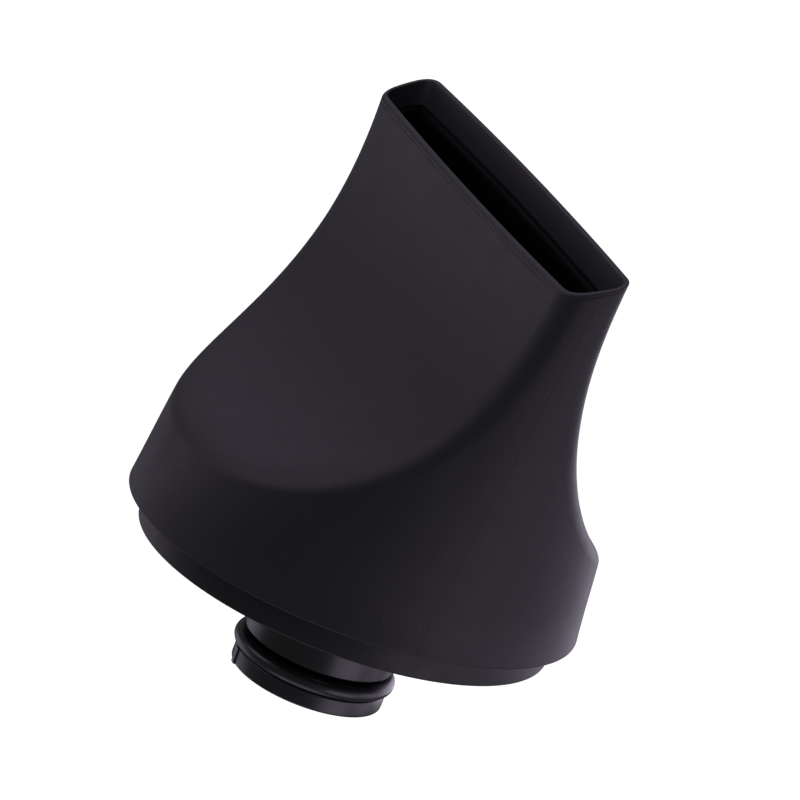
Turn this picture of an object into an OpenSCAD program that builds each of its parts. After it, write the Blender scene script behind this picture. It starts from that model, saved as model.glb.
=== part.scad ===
// Concentrator nozzle for a hair dryer with a ring-shaped air outlet.
// Z is the nozzle's axis, with the slot mouth at the top and the plug-in end at the bottom.
// X runs along the slot, and the lower lip of the slanted mouth is on the -Y side.
// The origin is the centre of the flat end of the plug.

/* [Plug] */
// Height from the flat end of the plug to the inlet ring's lower edge
plug_h = 18.2; // [16:0.1:24]
// Radius of the plug's stem
stem_r = 12.8; // [12:0.1:14]
// Radius of the end cap
cap_r = 13.1; // [12:0.1:14]
// Thickness of the end cap's visible rim
cap_h = 2.9; // [2.4:0.1:3.4]
// Height of the seal groove
groove_h = 3.5; // [3.2:0.1:4]
// Radius of the seal groove's floor
groove_r = 11.2; // [11:0.05:11.3]
// Radius of the rubber cord that the O-ring is made of
oring_cord_r = 1.38; // [1.2:0.01:1.4]
// Direction of the small locating rib on the end cap, in degrees from +X
rib_angle = 266; // [0:1:359]

/* [Inlet] */
// Outer radius of the inlet ring
ring_r = 35.6; // [35:0.1:36.4]
// Height of the inlet ring that shows below the shell
ring_show_h = 4.9; // [4:0.1:6]
// Wall of the inlet ring
ring_wall = 2.4; // [2:0.1:3]
// Outer radius of the spider's hub
hub_r = 15.6; // [15:0.1:18]
// Thickness of a spider strut
strut_t = 1.8; // [1.2:0.1:3]
// Number of magnets in the carrier
magnet_count = 8; // [4:1:8]

/* [Shell] */
// Radius of the shell's lower edge
base_r = 39; // [38:0.1:42]
// Radius where the skirt turns into the flared sides
waist_r = 38.4; // [37.8:0.1:38.6]
// Height of the conical skirt
skirt_h = 4.5; // [4:0.5:8]
// Height of the middle of the mouth above the shell's lower edge
mouth_h = 67.2; // [60:0.2:74]
// Half the length of the mouth
mouth_half_x = 47.3; // [42:0.1:50]
// Half the depth of the mouth
mouth_half_y = 5.5; // [5.1:0.1:7]
// Rise of the slanted mouth plane for each millimetre towards +Y
mouth_slant = 0.51; // [0:0.01:0.6]
// Radius of the rounded short ends of the mouth
end_r = 12; // [8:0.2:24]
// How much wider the upper lip is than the lower one, for each millimetre between them
lip_taper = 0.12; // [0:0.01:0.2]
// Outward bow of each long lip
lip_bow = 0.7; // [0:0.1:1.2]
// Wall of the shell at its lower edge
shell_t = 1.6; // [1.4:0.1:1.8]
// Wall of the shell at the mouth
mouth_t = 0.9; // [0.8:0.05:1.2]
// Height above the shell's lower edge where the scooped faces leave the round body
scoop_z = 16; // [14:0.5:18]
// Distance of the scooped faces from the axis at that height
scoop_y = 34.2; // [33:0.1:36]
// Rounding of the edge between a scooped face and the sides, low on the body
crease_low = 4.5; // [3:0.1:6]
// The same at the mouth
crease_top = 3; // [1:0.1:4]

/* [Duct] */
// Wall of the inner duct
duct_t = 1; // [0.8:0.1:1.2]
// Distance of the duct's outside from the shell's outside, at the duct's lower end
duct_in_low = 4.9; // [4.6:0.1:5.2]
// The same at the duct's upper end
duct_in_top = 1.5; // [1.4:0.05:2]
// Depth of the duct's upper edge below the mouth
land_h = 4; // [3:0.5:8]

/* [Hidden] */
$fn = 96;

fit_gap = 0.1;                      // clearance between parts that are pushed together
ring_z = plug_h;                    // lower edge of the inlet ring
shell_z = plug_h + ring_show_h;     // lower edge of the shell
mouth_z = shell_z + mouth_h;        // middle of the mouth
waist_z = shell_z + skirt_h;
curve_top_z = mouth_z + 6;          // where the curves that shape the body end, above the mouth
skirt_slope = (waist_r - base_r) / skirt_h;
side_slope = (mouth_half_x - waist_r) / (mouth_h - skirt_h);
scoop_slope = 1.96;                 // how steeply a scooped face starts
scoop_pull = [0.84, 0.57];          // how long each end of the scoop's curve keeps its direction
min_corner = 1;                     // least rounding of the edges of an inner surface
taper_reach = 8;                    // the lips' difference in width stops growing at this depth

groove_z = cap_h;
stem_z = groove_z + groove_h;       // the stem's lower edge, at the groove
ring_in_r = ring_r - ring_wall;
ring_neck_r = ring_r - 0.6;          // the ring's upper part, inside the shell
ring_top_z = shell_z + 5;
lip_t = 1.6;                        // the shell's inward lip around the inlet ring
rim_in_r = ring_in_r - 3;           // inner radius of the parts that sit inside the ring
carrier_z = ring_z + 0.5;
carrier_top_z = shell_z;
spider_top_z = ring_top_z - 1;
gasket_t = 0.8;
duct_z = spider_top_z + gasket_t;
plug_bore_r = 9.8;
plug_top_z = 26.5;
web_z = 9;                          // the wall inside the plug that the screw clamps
web_t = 2;
boss_r = 3.2;
boss_z = web_z + web_t;
cone_z = spider_top_z;
cone_top_z = 52;
cone_t = 1.4;
screw_r = 1.5;
screw_head_r = 2.8;
screw_head_h = 1.8;
screw_end_z = boss_z + 12;
magnet_size = [2, 8, 3];            // radial, along the ring, and height
small_screw_r = 0.9;
small_head_r = 1.6;
small_head_h = 0.9;
small_screw_len = 4;
angles = 80;                        // points around a section of the shell or the duct
shell_rows = 30;
duct_rows = 20;

black_shell = "#34313a";
black_plastic = "#232227";
black_gloss = "#151418";
rubber = "#1a191c";
steel = "#a9abb0";
magnet_grey = "#8d8f94";

// ---- Curves that shape the body ----

function smooth_min(a, b, k) =
    let (h = min(max(0.5 + 0.5 * (b - a) / k, 0), 1))
    b * (1 - h) + a * h - k * h * (1 - h);

function smooth_max(a, b, k) = -smooth_min(-a, -b, k);

// Point t of a cubic curve with end values p0 and p3 and handle values p1 and p2
function cubic(t, p0, p1, p2, p3) =
    let (s = 1 - t)
    s * s * s * p0 + 3 * s * s * t * p1 + 3 * s * t * t * p2 + t * t * t * p3;

// Half length of the body at height z: the skirt narrows to the waist, then the sides flare.
// The turn is spread over the skirt's height on each side of the waist.
function half_x(z) =
    smooth_max(base_r + skirt_slope * (z - shell_z), waist_r + side_slope * (z - waist_z),
               (side_slope - skirt_slope) * skirt_h);

// Parameter of the scoop's curve at height z, found by halving the interval
function scoop_t(z, lo = 0, hi = 1, n = 16) =
    let (h = curve_top_z - shell_z - scoop_z,
         mid = (lo + hi) / 2,
         zt = cubic(mid, 0, h * scoop_pull[0] / 3, h - h * scoop_pull[1] / 3, h))
    n == 0 ? mid
    : zt < z - shell_z - scoop_z ? scoop_t(z, mid, hi, n - 1)
    : scoop_t(z, lo, mid, n - 1);

// Distance of the scooped faces from the axis at height z
function half_y(z) =
    let (h = curve_top_z - shell_z - scoop_z, dz = z - shell_z - scoop_z, t = scoop_t(z))
    dz < 0 ? scoop_y - scoop_slope * dz
    : cubic(t, scoop_y, scoop_y - scoop_slope * h * scoop_pull[0] / 3, mouth_half_y, mouth_half_y);

// How far height z is on the way from the waist to the mouth, from 0 to 1
function rise(z) =
    let (h = mouth_z - waist_z)
    min(smooth_max(0, (z - waist_z) / h, skirt_h / h), 1);

// Where a ray crosses the corner between an end and a face, rounded over about k on each.
// side and face are the ray's lengths to them, and side_n and face_n its cosines to their normals.
function rounded_corner(side, face, side_n, face_n, k) =
    let (p = side_n + face_n,
         q = side_n * side + face_n * face,
         m = side_n - face_n,
         n = side_n * side - face_n * face,
         b = k * p - m * n,
         c = n * n + k * k - 2 * k * q,
         apart = side < face ? face_n * (face - side) : side_n * (side - face))
    apart < k ? -c / (b + sqrt(max(b * b - m * m * c, 0))) : min(side, face);

// Distance from the axis to the body's surface, set in by d, in direction a at height z,
// where the sides are as wide as they are at depth y
function reach_at(a, z, d, y) =
    let (s = rise(z),
         slope = (half_y(z) - half_y(z - 0.5)) / 0.5,
         ax = half_x(z) + lip_taper * s * min(max(y, -taper_reach), taper_reach) - d,
         r = end_r * s + half_x(z) * (1 - s) - d,
         c = ax - r,
         by = half_y(z) - d * sqrt(1 + slope * slope),
         co = abs(cos(a)),
         si = max(abs(sin(a)), 0.001),
         on_end = c * co + sqrt(max(r * r - c * c * si * si, 0)),
         past_end = si * c > co * r,
         side = past_end ? r / si : on_end,
         side_n = past_end ? si : (on_end - c * co) / r,
         bow = co * co * lip_bow / (mouth_half_x * mouth_half_x),
         face = 2 * by / (si + sqrt(si * si + 4 * bow * by)),
         face_n = si + bow * (min(side, face) + face))
    rounded_corner(side, face, side_n, face_n,
                   max(crease_low + (crease_top - crease_low) * s - d, min_corner));

function reach(a, z, d = 0) =
    let (r = reach_at(a, z, d, reach_at(a, z, d, 0) * sin(a))) reach_at(a, z, d, r * sin(a));

// Direction of point i of a section: the points crowd towards the corners of a flat section
function section_angle(i, z) =
    let (t = 360 * i / angles, q = min(1, half_y(z) / half_x(z)))
    atan2(q * sin(t), cos(t));

// Height of the slanted mouth plane, lowered by drop, in direction a
function top_z(a, d, drop, n = 4) =
    n == 0 ? mouth_z - drop
    : let (z = top_z(a, d, drop, n - 1)) mouth_z - drop + mouth_slant * reach(a, z, d) * sin(a);

// One wall of the body: rows of points from height z0 to the mouth plane lowered by drop.
// The inset runs from d0 at the bottom to d1 at the top.
function wall_points(rows, z0, drop, d0, d1) = [
    for (j = [0:rows]) for (i = [0:angles - 1])
        let (s = j / rows,
             zm = z0 + (mouth_z - drop - z0) * s,
             a = section_angle(i, zm),
             d = d0 + (d1 - d0) * s,
             z = z0 + (top_z(a, d1, drop) - z0) * s,
             r = reach(a, z, d))
        [r * cos(a), r * sin(a), z]
];

function wall_faces(rows, first, outward) = [
    for (j = [0:rows - 1]) for (i = [0:angles - 1])
        let (a = first + j * angles + i,
             b = first + j * angles + (i + 1) % angles,
             c = b + angles,
             e = a + angles)
        each outward ? [[a, e, c], [a, c, b]] : [[a, c, e], [a, b, c]]
];

// Closes the gap between the outer row that starts at point p and the inner row that starts at q
function edge_faces(p, q, up) = [
    for (i = [0:angles - 1])
        let (k = (i + 1) % angles)
        each up ? [[p + i, q + i, q + k], [p + i, q + k, p + k]]
            : [[p + i, q + k, q + i], [p + i, p + k, q + k]]
];

// A hollow wall with a slanted top edge, open at both ends, t0 thick at the bottom and t1 at the top
module body_wall(rows, z0, drop, d0, d1, t0, t1) {
    count = (rows + 1) * angles;
    polyhedron(
        points = concat(wall_points(rows, z0, drop, d0, d1),
                        wall_points(rows, z0, drop, d0 + t0, d1 + t1)),
        faces = concat(wall_faces(rows, 0, true),
                       wall_faces(rows, count, false),
                       edge_faces(0, count, false),
                       edge_faces(rows * angles, count + rows * angles, true)),
        convexity = 6);
}

// ---- Small helpers ----

module tube(r_out, r_in, z0, z1) {
    translate([0, 0, z0]) difference() {
        cylinder(r = r_out, h = z1 - z0);
        translate([0, 0, -1]) cylinder(r = r_in, h = z1 - z0 + 2);
    }
}

module around(count, start = 0) {
    for (i = [0:count - 1]) rotate(start + 360 * i / count) children();
}

// ---- Sub-parts ----

// Soft-touch outer shell with an inward lip that closes onto the inlet ring
module outer_shell() {
    color(black_shell) union() {
        body_wall(shell_rows, shell_z, 0, 0, 0, shell_t, mouth_t);
        tube(base_r - shell_t / 2, ring_neck_r + fit_gap, shell_z, shell_z + lip_t);
    }
}

// Plain ring that enters the dryer's outlet; its bead snaps in above the shell's lip
module inlet_ring() {
    bead_z = shell_z + lip_t + fit_gap;
    color(black_plastic) difference() {
        union() {
            translate([0, 0, ring_z]) cylinder(r = ring_r, h = ring_show_h);
            translate([0, 0, ring_z]) cylinder(r = ring_neck_r, h = ring_top_z - ring_z);
            translate([0, 0, bead_z]) cylinder(r = ring_r + 0.6, h = 1);
        }
        translate([0, 0, ring_z - 1]) cylinder(r = ring_in_r, h = ring_top_z - ring_z + 2);
    }
}

// Hollow plug that enters the dryer's open core
module core_plug() {
    color(black_gloss) difference() {
        union() {
            translate([0, 0, stem_z]) cylinder(r = stem_r, h = plug_top_z - stem_z);
            translate([0, 0, groove_z]) cylinder(r = groove_r, h = groove_h);
        }
        translate([0, 0, groove_z - 1]) cylinder(r = plug_bore_r, h = web_z - groove_z + 1);
        translate([0, 0, web_z - 1]) cylinder(r = screw_r + fit_gap, h = web_t + 2);
        translate([0, 0, web_z + web_t]) cylinder(r = plug_bore_r, h = plug_top_z - web_z);
    }
}

// Cap that closes the plug's end and holds the O-ring in its groove
module plug_end_cap() {
    chamfer = 0.35;
    sleeve_t = 1.2;
    sleeve_h = 4;
    rib_w = 1.4;
    rib_out = 0.25;
    color(black_gloss) union() {
        rotate_extrude() polygon([
            [0, 0], [cap_r - chamfer, 0], [cap_r, chamfer], [cap_r, cap_h],
            [plug_bore_r - fit_gap, cap_h], [plug_bore_r - fit_gap, cap_h + sleeve_h],
            [plug_bore_r - fit_gap - sleeve_t, cap_h + sleeve_h],
            [plug_bore_r - fit_gap - sleeve_t, cap_h - 1], [0, cap_h - 1]
        ]);
        rotate(rib_angle) translate([cap_r - 1, -rib_w / 2, 0]) cube([1 + rib_out, rib_w, cap_h]);
    }
}

module plug_o_ring() {
    color(rubber) translate([0, 0, groove_z + oring_cord_r + fit_gap / 2])
        rotate_extrude() translate([groove_r + oring_cord_r, 0]) circle(r = oring_cord_r, $fn = 32);
}

// Hub, struts and rim that hold the plug in the middle of the inlet ring
module hub_spider() {
    strut_h = 5;
    color(black_plastic) difference() {
        union() {
            tube(hub_r, stem_r + fit_gap, ring_z + 2, spider_top_z);
            tube(ring_in_r - fit_gap, rim_in_r, carrier_top_z, spider_top_z);
            around(4, 45) translate([hub_r - 1, -strut_t / 2, spider_top_z - strut_h])
                cube([rim_in_r + 1 - hub_r + 0.6, strut_t, strut_h]);
        }
        around(4) translate([(rim_in_r + ring_in_r) / 2, 0, carrier_top_z - 1])
            cylinder(r = small_screw_r - 0.05, h = small_screw_len);
    }
}

// Closed pointed dome over the hub that leads the ring of air together towards the slot
module flow_cone() {
    h = cone_top_z - cone_z;
    steps = 14;
    outside = [for (i = [0:steps]) let (t = 90 * i / steps) [hub_r * cos(t), cone_z + h * sin(t)]];
    inside = [
        for (i = [0:steps])
            let (t = 90 * (steps - i) / steps)
            [(hub_r - cone_t) * cos(t), cone_z + (h - cone_t) * sin(t)]
    ];
    color(black_gloss) difference() {
        union() {
            rotate_extrude() polygon(concat(outside, inside));
            translate([0, 0, boss_z]) cylinder(r = boss_r, h = cone_top_z - cone_t / 2 - boss_z);
        }
        translate([0, 0, boss_z - 1]) cylinder(r = screw_r - 0.1, h = screw_end_z - boss_z + 2);
    }
}

// Air duct inside the shell; the air gap around it keeps the shell cool
module inner_duct() {
    color(black_gloss) body_wall(duct_rows, duct_z, land_h, duct_in_low, duct_in_top, duct_t, duct_t);
}

module duct_gasket() {
    color(rubber) tube(ring_in_r - fit_gap, rim_in_r + 1.2, spider_top_z, duct_z);
}

// Ring with pockets for the magnets, screwed up against the spider's rim
module magnet_carrier() {
    mid_r = (rim_in_r + ring_in_r) / 2;
    color(black_plastic) difference() {
        tube(ring_in_r - fit_gap, rim_in_r, carrier_z, carrier_top_z);
        around(magnet_count, 180 / magnet_count) translate([mid_r, 0, carrier_z + 2.2])
            cube([magnet_size[0] + 0.1, magnet_size[1] + 0.1, magnet_size[2] + 0.1], center = true);
        around(4) translate([mid_r, 0, carrier_z - 1]) cylinder(r = small_screw_r + 0.05, h = 8);
        around(4) translate([mid_r, 0, carrier_z - 1]) cylinder(r = small_head_r, h = small_head_h + 1);
    }
}

module retaining_magnets() {
    mid_r = (rim_in_r + ring_in_r) / 2;
    color(magnet_grey) around(magnet_count, 180 / magnet_count)
        translate([mid_r, 0, carrier_z + 2.2]) cube(magnet_size, center = true);
}

// Small pan-head screws, heads down, that fasten the carrier to the spider
module carrier_screws() {
    mid_r = (rim_in_r + ring_in_r) / 2;
    color(steel) around(4) translate([mid_r, 0, carrier_z]) union() {
        difference() {
            cylinder(r = small_head_r - 0.1, h = small_head_h);
            translate([0, 0, -1]) cylinder(r = 0.6, h = 1.5, $fn = 6);
        }
        cylinder(r = small_screw_r - 0.05, h = small_head_h + small_screw_len);
    }
}

// Screw through the wall inside the plug into the flow cone's boss
module plug_screw() {
    color(steel) union() {
        difference() {
            translate([0, 0, web_z - screw_head_h]) cylinder(r = screw_head_r, h = screw_head_h);
            translate([0, 0, web_z - screw_head_h - 1]) cylinder(r = 1.2, h = 2, $fn = 6);
        }
        translate([0, 0, web_z - 0.2]) cylinder(r = screw_r - 0.1, h = screw_end_z - web_z);
    }
}

outer_shell();
inlet_ring();
core_plug();
plug_end_cap();
plug_o_ring();
hub_spider();
flow_cone();
inner_duct();
duct_gasket();
magnet_carrier();
retaining_magnets();
carrier_screws();
plug_screw();
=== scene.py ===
"""Looks of a concentrator nozzle for a hair dryer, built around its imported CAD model.

Lengths are in metres. Z is the nozzle's axis, X runs along the slot, and the origin is the centre
of the flat end of the plug.
"""

import math

import bmesh
import bpy
import numpy as np
from mathutils import Matrix, Vector


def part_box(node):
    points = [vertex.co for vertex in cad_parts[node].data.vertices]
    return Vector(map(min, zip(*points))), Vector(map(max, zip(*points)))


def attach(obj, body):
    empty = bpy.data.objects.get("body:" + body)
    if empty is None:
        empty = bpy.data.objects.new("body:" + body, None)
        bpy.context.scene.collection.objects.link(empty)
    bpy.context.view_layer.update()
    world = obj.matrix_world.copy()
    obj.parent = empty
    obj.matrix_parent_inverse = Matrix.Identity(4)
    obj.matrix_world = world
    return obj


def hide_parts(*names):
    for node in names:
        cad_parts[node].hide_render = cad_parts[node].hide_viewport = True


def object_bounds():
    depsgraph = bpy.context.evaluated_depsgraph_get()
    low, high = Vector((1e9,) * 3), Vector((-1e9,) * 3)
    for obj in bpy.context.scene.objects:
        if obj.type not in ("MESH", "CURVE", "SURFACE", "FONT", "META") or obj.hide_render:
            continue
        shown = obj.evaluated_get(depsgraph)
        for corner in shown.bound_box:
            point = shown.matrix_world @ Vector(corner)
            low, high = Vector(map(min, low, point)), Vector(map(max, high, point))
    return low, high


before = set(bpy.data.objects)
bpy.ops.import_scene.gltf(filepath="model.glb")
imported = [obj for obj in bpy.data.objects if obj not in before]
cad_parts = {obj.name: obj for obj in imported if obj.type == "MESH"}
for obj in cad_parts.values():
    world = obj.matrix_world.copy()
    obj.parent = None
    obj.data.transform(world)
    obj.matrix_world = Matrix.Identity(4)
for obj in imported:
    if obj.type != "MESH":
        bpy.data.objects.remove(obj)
CAD_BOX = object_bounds()
MM = 0.001

# ---- Sizes read from the frame ----

SHELL_LOW, SHELL_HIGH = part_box("outer_shell")
RING_LOW, RING_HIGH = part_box("inlet_ring")
PLUG_LOW, PLUG_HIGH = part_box("core_plug")
SEAL_LOW, SEAL_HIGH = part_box("plug_o_ring")
_, CAP_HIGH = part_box("plug_end_cap")
DUCT_LOW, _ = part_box("inner_duct")

# ---- Sizes of the body, the same as in the CAD model ----

BASE_R = SHELL_HIGH.y            # radius of the round base
SHELL_Z = SHELL_LOW.z            # height of the base
WAIST_R = 38.4 * MM              # half length at the waist, on top of the skirt
SKIRT_H = 4.5 * MM               # height of the skirt
WAIST_BLEND = SKIRT_H            # height over which the waist is rounded
MOUTH_H = 67.2 * MM              # height of the mouth's middle above the base
MOUTH_HALF_X = 47.3 * MM
MOUTH_HALF_Y = 5.5 * MM
MOUTH_SLANT = 0.51               # rise of the mouth's plane along Y
END_R = 12 * MM                  # radius of the ends at the mouth
LIP_TAPER = 0.12                 # how much the mouth lengthens along Y
TAPER_REACH = 8 * MM             # distance along Y over which it does
LIP_BOW = 0.7 * MM               # how far a face falls back from its middle to its ends
SCOOP_Z = 16 * MM                # height above the base where the scoop's curve starts
SCOOP_Y = 34.2 * MM              # its distance from the axis there
SCOOP_SLOPE = 1.96               # how fast it closes on the axis there
SCOOP_PULL = (0.84, 0.57)        # how strongly the curve keeps its direction at each end
CURVE_OVER = 6 * MM              # how far above the mouth's middle the curve ends
CREASE_LOW = 4.5 * MM            # rounding between a face and an end, at the base
CREASE_TOP = 3.0 * MM            # and at the mouth
MIN_CORNER = 1.0 * MM            # least rounding on the inside
SHELL_T = 1.6 * MM               # wall at the base
MOUTH_T = 0.9 * MM               # wall at the mouth
LAND_H = 4.0 * MM                # depth of the duct's edge below the mouth
DUCT_T = 1.0 * MM                # wall of the duct
DUCT_IN_LOW = 4.9 * MM           # gap from the body's surface to the duct, at its low end
DUCT_IN_TOP = 1.5 * MM           # and at its edge

WAIST_Z = SHELL_Z + SKIRT_H
MOUTH_Z = SHELL_Z + MOUTH_H
CURVE_TOP_Z = MOUTH_Z + CURVE_OVER

# ---- Fine detail of the shell ----

SHELL_EDGE = 0.35 * MM           # radius of the lower edge
LIP_OUT = 0.4 * MM               # radius of the lip's outer edge
LIP_IN = 0.15 * MM               # and of its inner edge
LINE_Z = 0.55 * MM               # depth of the shallow line below the lip
LINE_H = 0.3 * MM
LINE_DEEP = 0.06 * MM

PARTING_LOW_Y = -2.3 * MM        # where the parting line starts at the base
PARTING_TOP_Y = 0.4 * MM         # and ends at the mouth
PARTING_W = 0.14 * MM
PARTING_DEEP = 0.03 * MM

# ---- Sizes of the inlet ring ----

RING_R = 35.6 * MM
RING_IN_R = RING_R - 2.4 * MM
RING_NECK_R = RING_R - 0.6 * MM      # the ring's upper part, inside the shell
SHELL_NECK_R = RING_R - 0.5 * MM     # the shell's hole round it
BEAD_Z = SHELL_Z + 1.7 * MM          # the bead that holds the ring in the shell
BEAD_H = 1 * MM
BEAD_R = RING_R + 0.6 * MM

# ---- Sizes of the plug ----

STEM_R = PLUG_HIGH.x
GROOVE_R = 11.2 * MM
GROOVE_TOP_Z = PLUG_LOW.z + 3.5 * MM
BORE_R = 9.8 * MM
WEB_Z = 9 * MM
WEB_T = 2 * MM
SCREW_HOLE_R = 1.6 * MM
STEM_EDGE = 0.3 * MM
CAP_R = 13.1 * MM
CAP_H = PLUG_LOW.z
CAP_FLOOR_T = 1 * MM                 # how far the cap's hollow goes down into its rim
SLEEVE_R = BORE_R - 0.1 * MM
SLEEVE_T = 1.2 * MM
SLEEVE_EDGE = 0.2 * MM
RIB_ANGLE = math.radians(266)
RIB_W = 1.4 * MM
RIB_IN = 1 * MM                      # how deep the rib is rooted in the cap
RIB_OUT = 0.25 * MM
RIB_EDGE = 0.2 * MM

# ---- Fineness of the meshes ----

ROUND = 360                      # points round the shell and the duct
TURNED = 192                     # points round a turned piece
OUTSIDE_ROWS = 150
INSIDE_ROWS = 70
DUCT_ROWS = 70
ARC_STEPS = 8
LINE_STEPS = 6
FILLET_STEPS = 5
CORD_STEPS = 48
CURVE_STEPS = 400

# ---- Camera and light ----

CAMERA_TURN = (64.27, 16.35, 21.13)      # azimuth, elevation and roll in degrees
CAMERA_DISTANCE = 0.77347
CAMERA_TARGET = (0, 0, 0.0482)
CAMERA_SHIFT = (-0.00116, 0.00294)       # along the camera's own right and up
CAMERA_LENS = 215.07
CAMERA_SENSOR = 36

ROOM_LIGHT = 0.10                # how bright the room is to everything but the camera
BOX_SIZE = 0.8
BOX_DISTANCE = 1.1
LIGHT_TINT = (1.0, 0.90, 1.14)
SOFT_BOXES = {
    "overhead": ((0, 0, 1), 3.6),
    "behind": ((-0.45, 0.88, 0), 3.8),
    "right_low": ((0.85, 0.45, -0.35), 2.4),
    "left_low": ((-0.8, -0.45, -0.4), 1.2),
    "behind_right": ((0.3, 0.92, -0.1), 1.75),
    "front_left": ((-0.2, -0.8, 0.45), 2.0),
    "left_high": ((-0.75, -0.1, 0.6), 0.8),
    "under": ((0.1, -0.1, -1), 1.4),
}
FLOOR_HALF = 14.0
FLOOR_Z = -1.2


def make_camera():
    """A long lens, rolled so that the upright nozzle leans to the right in the picture."""
    azimuth, elevation, roll = (math.radians(d) for d in CAMERA_TURN)
    back = Vector((math.sin(azimuth) * math.cos(elevation),
                   -math.cos(azimuth) * math.cos(elevation),
                   math.sin(elevation)))
    right = Vector((math.cos(azimuth), math.sin(azimuth), 0))
    up = back.cross(right)
    cam_x = math.cos(roll) * right + math.sin(roll) * up
    cam_y = -math.sin(roll) * right + math.cos(roll) * up
    place = Vector(CAMERA_TARGET) + back * CAMERA_DISTANCE
    place = place + cam_x * CAMERA_SHIFT[0] + cam_y * CAMERA_SHIFT[1]
    data = bpy.data.cameras.new("camera")
    data.sensor_width = CAMERA_SENSOR
    data.lens = CAMERA_LENS
    data.clip_start = 0.01
    data.clip_end = 20
    cam = bpy.data.objects.new("camera", data)
    bpy.context.collection.objects.link(cam)
    cam.matrix_world = Matrix((
        (cam_x.x, cam_y.x, back.x, place.x),
        (cam_x.y, cam_y.y, back.y, place.y),
        (cam_x.z, cam_y.z, back.z, place.z),
        (0, 0, 0, 1)))
    bpy.context.scene.camera = cam


make_camera()


# ---- The body's form: the same curves as in the CAD model ----

def smooth_min(a, b, k):
    """The lesser of a and b, rounded over where they are within k of each other."""
    h = np.clip(0.5 + 0.5 * (b - a) / k, 0, 1)
    return b * (1 - h) + a * h - k * h * (1 - h)


def rounded_corner(side, face, side_n, face_n, k):
    """Where a ray crosses the corner between an end and a face, rounded over about k on each.

    side and face are the ray's lengths to each; side_n and face_n are its cosines to their normals.
    """
    p, q = side_n + face_n, side_n * side + face_n * face
    m, n = side_n - face_n, side_n * side - face_n * face
    b = k * p - m * n
    c = n * n + k * k - 2 * k * q
    blended = -c / (b + np.sqrt(np.maximum(b * b - m * m * c, 0)))
    apart = np.where(side < face, face_n * (face - side), side_n * (side - face))
    return np.where(apart < k, blended, np.minimum(side, face))


def cubic(t, p0, p1, p2, p3):
    """A Bezier curve's value at t."""
    s = 1 - t
    return s ** 3 * p0 + 3 * s * s * t * p1 + 3 * s * t * t * p2 + t ** 3 * p3


def half_x(z):
    """Half length of the body at height z."""
    skirt_slope = (WAIST_R - BASE_R) / SKIRT_H
    side_slope = (MOUTH_HALF_X - WAIST_R) / (MOUTH_H - SKIRT_H)
    skirt = BASE_R + skirt_slope * (z - SHELL_Z)
    sides = WAIST_R + side_slope * (z - WAIST_Z)
    return -smooth_min(-skirt, -sides, WAIST_BLEND * (side_slope - skirt_slope))


def half_y(z):
    """Distance of the scooped faces from the axis at height z."""
    h = CURVE_TOP_Z - SHELL_Z - SCOOP_Z
    dz = z - SHELL_Z - SCOOP_Z
    t = np.linspace(0, 1, CURVE_STEPS)
    low_y = SCOOP_Y - SCOOP_SLOPE * h * SCOOP_PULL[0] / 3
    heights = cubic(t, 0, h * SCOOP_PULL[0] / 3, h - h * SCOOP_PULL[1] / 3, h)
    depths = cubic(t, SCOOP_Y, low_y, MOUTH_HALF_Y, MOUTH_HALF_Y)
    return np.where(dz < 0, SCOOP_Y - SCOOP_SLOPE * dz, np.interp(dz, heights, depths))


def rise(z):
    """How far height z is on the way from the waist, 0, to the mouth, 1."""
    height = MOUTH_Z - WAIST_Z
    return np.minimum(1, -smooth_min(0 * z, (WAIST_Z - z) / height, WAIST_BLEND / height))


def reach_at(a, z, d, y):
    """Distance from the axis to the surface, where the ends' taper is taken at y."""
    s = rise(z)
    step = 0.5 * MM
    slope = (half_y(z) - half_y(z - step)) / step
    ax = half_x(z) + LIP_TAPER * s * np.clip(y, -TAPER_REACH, TAPER_REACH) - d
    r = END_R * s + half_x(z) * (1 - s) - d
    c = ax - r
    by = half_y(z) - d * np.sqrt(1 + slope * slope)
    co = np.abs(np.cos(a))
    si = np.maximum(np.abs(np.sin(a)), 0.001)
    on_end = c * co + np.sqrt(np.maximum(r * r - c * c * si * si, 0))
    flat = si * c > co * r
    side = np.where(flat, r / si, on_end)
    side_n = np.where(flat, si, (on_end - c * co) / r)
    bow = co * co * LIP_BOW / (MOUTH_HALF_X * MOUTH_HALF_X)
    face = 2 * by / (si + np.sqrt(np.maximum(si * si + 4 * bow * by, 1e-9)))
    face_n = si + bow * (np.minimum(side, face) + face)
    softness = CREASE_LOW + (CREASE_TOP - CREASE_LOW) * s
    return rounded_corner(side, face, side_n, face_n, np.maximum(softness - d, MIN_CORNER))


def reach(a, z, d):
    """Distance from the axis to the body's surface, set in by d, in direction a at height z."""
    r = reach_at(a, z, d, 0)
    r = reach_at(a, z, d, r * np.sin(a))
    return reach_at(a, z, d, r * np.sin(a))


def top_z(a, d, drop):
    """Height of the slanted mouth plane, lowered by drop, in direction a."""
    z = np.full_like(a, MOUTH_Z - drop)
    for _ in range(5):
        z = MOUTH_Z - drop + MOUTH_SLANT * reach(a, z, d) * np.sin(a)
    return z


# ---- Loops of points round the body ----

def directions(z):
    """Directions round the section at height z, crowded towards the corners of a flat one."""
    u = np.arange(ROUND) * 2 * math.pi / ROUND
    t = u + 0.75 / 4 * np.sin(4 * u)
    q = min(1.0, float(half_y(z) / half_x(z)))
    return np.arctan2(q * np.sin(t), np.cos(t))


def loop_of(r, a, z):
    """Points at distance r from the axis, in direction a at height z."""
    return np.stack([r * np.cos(a), r * np.sin(a), z], axis=1)


def round_loop(r, z):
    """A level circle with the base's directions."""
    a = directions(SHELL_Z)
    return loop_of(r, a, np.full_like(a, z))


def level_loop(z, d):
    """A level section near the base, set in by d."""
    a = directions(SHELL_Z)
    z = np.full_like(a, z)
    return loop_of(reach(a, z, d), a, z)


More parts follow.
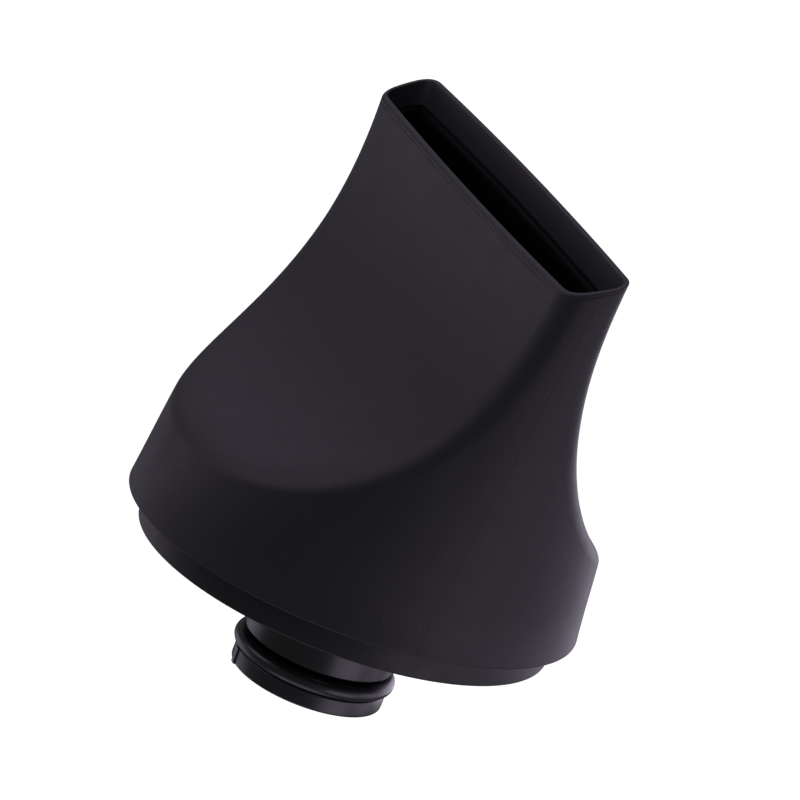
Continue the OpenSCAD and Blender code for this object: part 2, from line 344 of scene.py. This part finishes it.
def body_loop(z0, s, drop, d_low, d_top):
    """A section at fraction s of the way from the level z0 to the lowered mouth plane.

    It is set in by d_low at z0, and by d_top at the mouth.
    """
    a = directions(z0 + (MOUTH_Z - drop - z0) * s)
    d = d_low + (d_top - d_low) * s
    z = z0 + (top_z(a, np.full_like(a, d_top), drop) - z0) * s
    return loop_of(reach(a, z, d), a, z)


def mouth_loop(drop, d):
    """A section in the lowered mouth plane, set in by d."""
    return body_loop(SHELL_Z + SHELL_EDGE, 1, drop, 0, d)


def quarter_turn(count):
    """The first count angles of a right angle's steps."""
    return [math.pi / 2 * s / ARC_STEPS for s in range(count)]


# ---- Mesh helpers ----

def new_object(name, mesh, material):
    """A smooth-shaded piece that rides on the nozzle."""
    obj = bpy.data.objects.new(name, mesh)
    bpy.context.collection.objects.link(obj)
    mesh.materials.append(material.mat)
    for poly in mesh.polygons:
        poly.use_smooth = True
    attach(obj, "root")
    return obj


def loft(loops):
    """A closed mesh skin over loops of equal length, the last of which joins the first."""
    count, rows = len(loops[0]), len(loops)
    verts = np.concatenate(loops)
    j = np.arange(rows)[:, None]
    i = np.arange(count)[None, :]
    k = (i + 1) % count
    n = (j + 1) % rows
    quads = np.stack([j * count + i, j * count + k, n * count + k, n * count + i], axis=-1)
    mesh = bpy.data.meshes.new("skin")
    mesh.from_pydata(verts.tolist(), [], quads.reshape(-1, 4).tolist())
    mesh.validate()
    bm = bmesh.new()
    bm.from_mesh(mesh)
    bmesh.ops.recalc_face_normals(bm, faces=bm.faces)
    bm.to_mesh(mesh)
    bm.free()
    return mesh


def fillet(points):
    """Rounds a closed profile's corners. Each point is (r, z, radius of its corner)."""
    out = []
    for i, (r, z, radius) in enumerate(points):
        p = np.array([r, z])
        if radius <= 0:
            out.append(p)
            continue
        a = np.array(points[i - 1][:2]) - p
        b = np.array(points[(i + 1) % len(points)][:2]) - p
        la, lb = np.linalg.norm(a), np.linalg.norm(b)
        a, b = a / la, b / lb
        half = math.acos(max(-1, min(1, float(a @ b)))) / 2
        cut = min(radius / math.tan(half), la * 0.49, lb * 0.49)
        start, end = p + a * cut, p + b * cut
        for s in range(FILLET_STEPS + 1):
            t = s / FILLET_STEPS
            out.append((1 - t) ** 2 * start + 2 * t * (1 - t) * p + t * t * end)
    return np.array(out)


def join_rings(bm, p, q):
    """Faces between two rings of vertices. A ring of one vertex is a point on the axis."""
    if len(p) == 1 and len(q) == 1:
        return
    for i in range(TURNED):
        k = (i + 1) % TURNED
        if len(p) == 1:
            bm.faces.new((p[0], q[i], q[k]))
        elif len(q) == 1:
            bm.faces.new((p[i], p[k], q[0]))
        else:
            bm.faces.new((p[i], p[k], q[k], q[i]))


def lathe(profile):
    """Turns a closed profile of (r, z) points about the axis."""
    bm = bmesh.new()
    angles = [2 * math.pi * i / TURNED for i in range(TURNED)]
    rings = []
    for r, z in profile:
        if r < 1e-6:
            rings.append([bm.verts.new((0, 0, z))])
        else:
            rings.append([bm.verts.new((r * math.cos(a), r * math.sin(a), z)) for a in angles])
    for j in range(len(rings)):
        join_rings(bm, rings[j], rings[(j + 1) % len(rings)])
    bmesh.ops.recalc_face_normals(bm, faces=bm.faces)
    mesh = bpy.data.meshes.new("turned")
    bm.to_mesh(mesh)
    bm.free()
    return mesh


# ---- Materials ----

class Nodes:
    """Short names for building a material's node tree."""

    def __init__(self, name):
        self.mat = bpy.data.materials.new(name)
        self.mat.use_nodes = True
        self.tree = self.mat.node_tree
        self.shader = self.tree.nodes["Principled BSDF"]
        self.coords = self.add("ShaderNodeTexCoord")
        self.colour = None
        self.grain = None

    def add(self, kind, **values):
        """A node, with its inputs or its own settings given by name."""
        node = self.tree.nodes.new(kind)
        for key, value in values.items():
            if key in node.inputs:
                node.inputs[key].default_value = value
            else:
                setattr(node, key, value)
        return node

    def link(self, a, b):
        self.tree.links.new(a, b)

    def set(self, socket, value):
        """A plain value on one of the shader's own inputs."""
        self.shader.inputs[socket].default_value = value

    def noise(self, scale, detail=3.0, roughness=0.5):
        node = self.add("ShaderNodeTexNoise", Scale=scale, Detail=detail, Roughness=roughness)
        self.link(self.coords.outputs["Object"], node.inputs["Vector"])
        return node.outputs["Fac"]

    def remap(self, value, low, high, new_low, new_high):
        node = self.add("ShaderNodeMapRange")
        limits = {"From Min": low, "From Max": high, "To Min": new_low, "To Max": new_high}
        for key, number in limits.items():
            node.inputs[key].default_value = number
        self.link(value, node.inputs["Value"])
        return node.outputs["Result"]

    def spread(self, noise, low, high):
        """The middle of a noise's range, stretched from low to high."""
        return self.remap(noise, 0.3, 0.7, low, high)

    def calc(self, operation, *values):
        node = self.add("ShaderNodeMath", operation=operation)
        for i, value in enumerate(values):
            if hasattr(value, "links"):
                self.link(value, node.inputs[i])
            else:
                node.inputs[i].default_value = value
        return node.outputs[0]

    def blend(self, factor, dark, light):
        """A colour between two. dark is a colour, or the output of another node."""
        node = self.add("ShaderNodeMix", data_type="RGBA")
        self.link(factor, node.inputs[0])
        if hasattr(dark, "links"):
            self.link(dark, node.inputs[6])
        else:
            node.inputs[6].default_value = (*dark, 1)
        node.inputs[7].default_value = (*light, 1)
        return node.outputs[2]

    def bump(self, height):
        """The surface's normal with a height in metres."""
        node = self.add("ShaderNodeBump", Strength=1.0, Distance=1.0)
        self.link(height, node.inputs["Height"])
        self.link(node.outputs["Normal"], self.shader.inputs["Normal"])


def moulded(name, dark, light, rough, rough_spread, grain_scale, grain_depth, specular):
    """Moulded plastic or rubber: slow tone changes, a fine surface grain and slightly uneven gloss."""
    n = Nodes(name)
    slow = n.noise(55, 2)
    cloudy = n.noise(260, 3)
    n.colour = n.blend(n.spread(slow, 0, 1), dark, light)
    n.link(n.colour, n.shader.inputs["Base Color"])
    mixed = n.calc("ADD", n.calc("MULTIPLY", cloudy, 0.6), n.calc("MULTIPLY", slow, 0.4))
    uneven = n.spread(mixed, rough - rough_spread, rough + rough_spread)
    n.link(uneven, n.shader.inputs["Roughness"])
    n.grain = n.calc("MULTIPLY", n.noise(grain_scale, 2, 0.6), grain_depth)
    n.bump(n.grain)
    n.set("Specular IOR Level", specular)
    return n


def add_specks(n, tone):
    """Dust: a few tiny lighter points on the moulded surface."""
    cells = n.add("ShaderNodeTexVoronoi", Scale=420, Randomness=1.0)
    n.link(n.coords.outputs["Object"], cells.inputs["Vector"])
    near = n.remap(cells.outputs["Distance"], 0.03, 0.06, 1, 0)
    chosen = n.remap(n.noise(330, 0), 0.56, 0.58, 0, 1)
    amount = n.calc("MULTIPLY", n.calc("MULTIPLY", near, chosen), 0.6)
    n.link(n.blend(amount, n.colour, tone), n.shader.inputs["Base Color"])


def add_parting_line(n):
    """The fine line that the mould's halves leave up the middle of each end of the shell."""
    place = n.add("ShaderNodeSeparateXYZ")
    n.link(n.coords.outputs["Object"], place.inputs[0])
    line_y = n.remap(place.outputs["Z"], SHELL_Z, MOUTH_Z, PARTING_LOW_Y, PARTING_TOP_Y)
    away = n.calc("ABSOLUTE", n.calc("SUBTRACT", place.outputs["Y"], line_y))
    ridge = n.remap(away, 0, PARTING_W, PARTING_DEEP, 0)
    n.bump(n.calc("ADD", n.grain, ridge))


def metal(name, tone, rough):
    """Plated metal with faint uneven gloss and fine marks."""
    n = Nodes(name)
    marks = n.noise(900, 4, 0.7)
    cloudy = n.noise(300, 2)
    dark = tuple(c * 0.8 for c in tone)
    n.link(n.blend(n.spread(cloudy, 0, 1), dark, tone), n.shader.inputs["Base Color"])
    n.link(n.spread(marks, rough * 0.7, rough * 1.3), n.shader.inputs["Roughness"])
    n.bump(n.calc("MULTIPLY", marks, 0.000006))
    n.set("Metallic", 1.0)
    return n


SOFT_TOUCH = moulded("soft_touch_black", (0.0178, 0.0164, 0.0200), (0.0206, 0.0189, 0.0232),
                     rough=0.56, rough_spread=0.03,
                     grain_scale=4200, grain_depth=0.000014, specular=0.42)
add_specks(SOFT_TOUCH, (0.10, 0.10, 0.11))
add_parting_line(SOFT_TOUCH)
PLASTIC = moulded("matte_black_plastic", (0.0115, 0.0106, 0.0130), (0.0145, 0.0134, 0.0164),
                  rough=0.50, rough_spread=0.06,
                  grain_scale=3000, grain_depth=0.000012, specular=0.42)
add_specks(PLASTIC, (0.08, 0.08, 0.09))
SATIN = moulded("satin_black_plastic", (0.0120, 0.0112, 0.0138), (0.0150, 0.0140, 0.0172),
                rough=0.33, rough_spread=0.05,
                grain_scale=2600, grain_depth=0.000008, specular=0.62)
# Black duct plastic whose colour is darkened far below real plastic as painted shade, so the deep
# inside of the slot and the duct's edge read as black.
DUCT_BLACK_AND_SHADE = moulded("duct_black_and_painted_shade", (0.0007, 0.0007, 0.0008), (0.0012, 0.0012, 0.0013),
               rough=0.60, rough_spread=0.04,
               grain_scale=1800, grain_depth=0.000003, specular=0.04)
RUBBER = moulded("black_rubber", (0.0125, 0.0118, 0.0138), (0.0155, 0.0147, 0.0170),
                 rough=0.32, rough_spread=0.05,
                 grain_scale=2200, grain_depth=0.000004, specular=0.60)
NICKEL = metal("nickel_plate", (0.55, 0.55, 0.56), rough=0.28)
STEEL = metal("screw_steel", (0.50, 0.50, 0.51), rough=0.35)


# ---- The shell ----

def shell_edge():
    """The rounded lower edge, from underneath up to the outside."""
    return [level_loop(SHELL_Z + SHELL_EDGE * (1 - math.cos(t)), SHELL_EDGE * (1 - math.sin(t)))
            for t in quarter_turn(ARC_STEPS)]


def shell_outside():
    """The outside, in even steps of height, and the shallow line below the lip."""
    z0 = SHELL_Z + SHELL_EDGE
    loops = [body_loop(z0, s, LINE_Z + LINE_H, 0, 0) for s in np.linspace(0, 1, OUTSIDE_ROWS)]
    for s in range(1, LINE_STEPS + 1):
        t = s / LINE_STEPS
        loops.append(mouth_loop(LINE_Z + LINE_H * (1 - t), LINE_DEEP * math.sin(math.pi * t) ** 2))
    loops.append(mouth_loop((LINE_Z + LIP_OUT) / 2, 0))
    return loops


def shell_lip():
    """The lip's rounded outer edge, and then its inner one."""
    turn = quarter_turn(ARC_STEPS + 1)
    outer = [mouth_loop(LIP_OUT * (1 - math.sin(t)), LIP_OUT * (1 - math.cos(t))) for t in turn]
    inner = [mouth_loop(LIP_IN * (1 - math.cos(t)), MOUTH_T - LIP_IN * (1 - math.sin(t)))
             for t in turn]
    return outer + inner


def shell_inside():
    """The inside, from the lip down, and the rim of the hole that the inlet ring fills."""
    z0 = SHELL_Z + SHELL_T
    wall = [body_loop(z0, s, LIP_IN, SHELL_T, MOUTH_T) for s in np.linspace(1, 0, INSIDE_ROWS)[1:]]
    rim = [round_loop(SHELL_NECK_R, z) for z in (z0, SHELL_Z + SHELL_T / 2, SHELL_Z)]
    return wall + rim


shell_mesh = loft(shell_edge() + shell_outside() + shell_lip() + shell_inside())
shell = new_object("soft_touch_shell", shell_mesh, SOFT_TOUCH)
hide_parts("outer_shell")


def make_duct():
    """A closed skin: up the outside of the duct, over its edge and down the passage."""
    in_low, in_top = DUCT_IN_LOW + DUCT_T, DUCT_IN_TOP + DUCT_T
    outside = [body_loop(DUCT_LOW.z, s, LAND_H, DUCT_IN_LOW, DUCT_IN_TOP)
               for s in np.linspace(0, 1, DUCT_ROWS)]
    passage = [body_loop(DUCT_LOW.z, s, LAND_H, in_low, in_top)
               for s in np.linspace(1, 0, DUCT_ROWS)]
    return loft(outside + passage)


duct = new_object("air_duct", make_duct(), DUCT_BLACK_AND_SHADE)
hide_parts("inner_duct")


# ---- Turned pieces ----

def turned(name, points, material, node):
    """A turned piece that stands for a CAD node."""
    obj = new_object(name, lathe(fillet(points)), material)
    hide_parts(node)


def make_inlet_ring():
    """The band below the shell, its neck inside the shell, and the bead that holds it there."""
    low, top = RING_LOW.z, RING_HIGH.z
    fine = 0.1 * MM
    turned("inlet_band", [
        (RING_IN_R, low, 0.3 * MM), (RING_R, low, 0.35 * MM), (RING_R, SHELL_Z, 0.05 * MM),
        (RING_NECK_R, SHELL_Z, 0), (RING_NECK_R, BEAD_Z, 0), (BEAD_R, BEAD_Z, fine),
        (BEAD_R, BEAD_Z + BEAD_H, fine), (RING_NECK_R, BEAD_Z + BEAD_H, 0),
        (RING_NECK_R, top, fine), (RING_IN_R, top, fine),
    ], PLASTIC, "inlet_ring")


def make_plug():
    """The hollow stem with the seal's groove, and the wall inside it that the screw clamps."""
    low, top = PLUG_LOW.z, PLUG_HIGH.z
    turned("plug_stem", [
        (BORE_R, low, 0), (GROOVE_R, low, 0), (GROOVE_R, GROOVE_TOP_Z, 0),
        (STEM_R, GROOVE_TOP_Z, STEM_EDGE), (STEM_R, top, STEM_EDGE), (BORE_R, top, STEM_EDGE),
        (BORE_R, WEB_Z + WEB_T, 0), (SCREW_HOLE_R, WEB_Z + WEB_T, 0),
        (SCREW_HOLE_R, WEB_Z, 0), (BORE_R, WEB_Z, 0),
    ], SATIN, "core_plug")


def add_rib(bm):
    """The small bevelled rib on the cap's rim."""
    size = Vector((RIB_IN + RIB_OUT, RIB_W, CAP_H))
    centre = Vector((CAP_R + (RIB_OUT - RIB_IN) / 2, 0, CAP_H / 2))
    for vert in bmesh.ops.create_cube(bm, size=1.0)["verts"]:
        vert.co = Vector(c * s for c, s in zip(vert.co, size)) + centre
    bmesh.ops.bevel(bm, geom=bm.edges[:], offset=RIB_EDGE, segments=3, affect="EDGES", profile=0.5)
    turn = Matrix.Rotation(RIB_ANGLE, 3, "Z")
    bmesh.ops.rotate(bm, cent=(0, 0, 0), matrix=turn, verts=bm.verts)


def make_end_cap():
    """The cap on the plug's end with its sleeve, and the rib on its rim."""
    floor_z = CAP_H - CAP_FLOOR_T
    sleeve_in_r = SLEEVE_R - SLEEVE_T
    mesh = lathe(fillet([
        (0, 0, 0), (CAP_R, 0, 0.5 * MM), (CAP_R, CAP_H, 0.3 * MM), (SLEEVE_R, CAP_H, 0),
        (SLEEVE_R, CAP_HIGH.z, SLEEVE_EDGE), (sleeve_in_r, CAP_HIGH.z, SLEEVE_EDGE),
        (sleeve_in_r, floor_z, 0), (0, floor_z, 0),
    ]))
    bm = bmesh.new()
    add_rib(bm)
    bm.from_mesh(mesh)
    bm.to_mesh(mesh)
    bm.free()
    cap = new_object("end_cap", mesh, SATIN)
    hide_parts("plug_end_cap")


def make_o_ring():
    """The seal in the plug's groove: a round cord turned about the axis."""
    cord = (SEAL_HIGH.z - SEAL_LOW.z) / 2
    mid_r, mid_z = SEAL_HIGH.x - cord, (SEAL_HIGH.z + SEAL_LOW.z) / 2
    angles = [2 * math.pi * i / CORD_STEPS for i in range(CORD_STEPS)]
    profile = [(mid_r + cord * math.cos(t), mid_z + cord * math.sin(t)) for t in angles]
    seal = new_object("o_ring", lathe(profile), RUBBER)
    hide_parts("plug_o_ring")


make_inlet_ring()
make_plug()
make_end_cap()
make_o_ring()

# ---- Finishes of the CAD nodes that keep their own shape ----

CAD_LOOKS = {
    "hub_spider": PLASTIC, "flow_cone": DUCT_BLACK_AND_SHADE, "duct_gasket": RUBBER, "magnet_carrier": PLASTIC,
    "retaining_magnets": NICKEL, "carrier_screws": STEEL, "plug_screw": STEEL,
}
for node_name, look in CAD_LOOKS.items():
    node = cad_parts[node_name]
    node.data.materials.clear()
    node.data.materials.append(look.mat)


# ---- Stage ----

def make_floor():
    """A plain white floor, far enough below to be free of the nozzle's shadow and glow."""
    mesh = bpy.data.meshes.new("floor")
    corners = [(x * FLOOR_HALF, y * FLOOR_HALF, FLOOR_Z)
               for x, y in ((-1, -1), (1, -1), (1, 1), (-1, 1))]
    mesh.from_pydata(corners, [], [(0, 1, 2, 3)])
    floor = bpy.data.objects.new("floor", mesh)
    bpy.context.collection.objects.link(floor)
    n = Nodes("pale_floor")
    n.set("Base Color", (0.9, 0.9, 0.9, 1))
    n.set("Roughness", 0.9)
    n.set("Emission Color", (1, 1, 1, 1))
    n.set("Emission Strength", 1.0)
    mesh.materials.append(n.mat)
    floor.visible_diffuse = False
    floor.visible_glossy = False


def make_room():
    """A dim room, which the camera sees as white."""
    world = bpy.data.worlds.new("studio")
    bpy.context.scene.world = world
    world.use_nodes = True
    tree = world.node_tree
    room = tree.nodes["Background"]
    room.inputs["Color"].default_value = (1, 1, 1, 1)
    path = tree.nodes.new("ShaderNodeLightPath")
    seen = tree.nodes.new("ShaderNodeMapRange")
    seen.inputs["To Min"].default_value = ROOM_LIGHT
    seen.inputs["To Max"].default_value = 1.0
    tree.links.new(path.outputs["Is Camera Ray"], seen.inputs["Value"])
    tree.links.new(seen.outputs["Result"], room.inputs["Strength"])


def soft_box(name, towards, power):
    """A square soft light that faces the nozzle from the given direction."""
    centre = (CAD_BOX[0] + CAD_BOX[1]) / 2
    data = bpy.data.lights.new(name, "AREA")
    data.size = BOX_SIZE
    data.energy = power
    data.color = LIGHT_TINT
    light = bpy.data.objects.new(name, data)
    bpy.context.collection.objects.link(light)
    away = Vector(towards).normalized()
    light.location = centre + away * BOX_DISTANCE
    light.rotation_mode = "QUATERNION"
    light.rotation_quaternion = (-away).to_track_quat("-Z", "Y")


make_floor()
make_room()
for box_name, (box_side, box_power) in SOFT_BOXES.items():
    soft_box(box_name, box_side, box_power)
bpy.context.scene.view_settings.view_transform = "Standard"
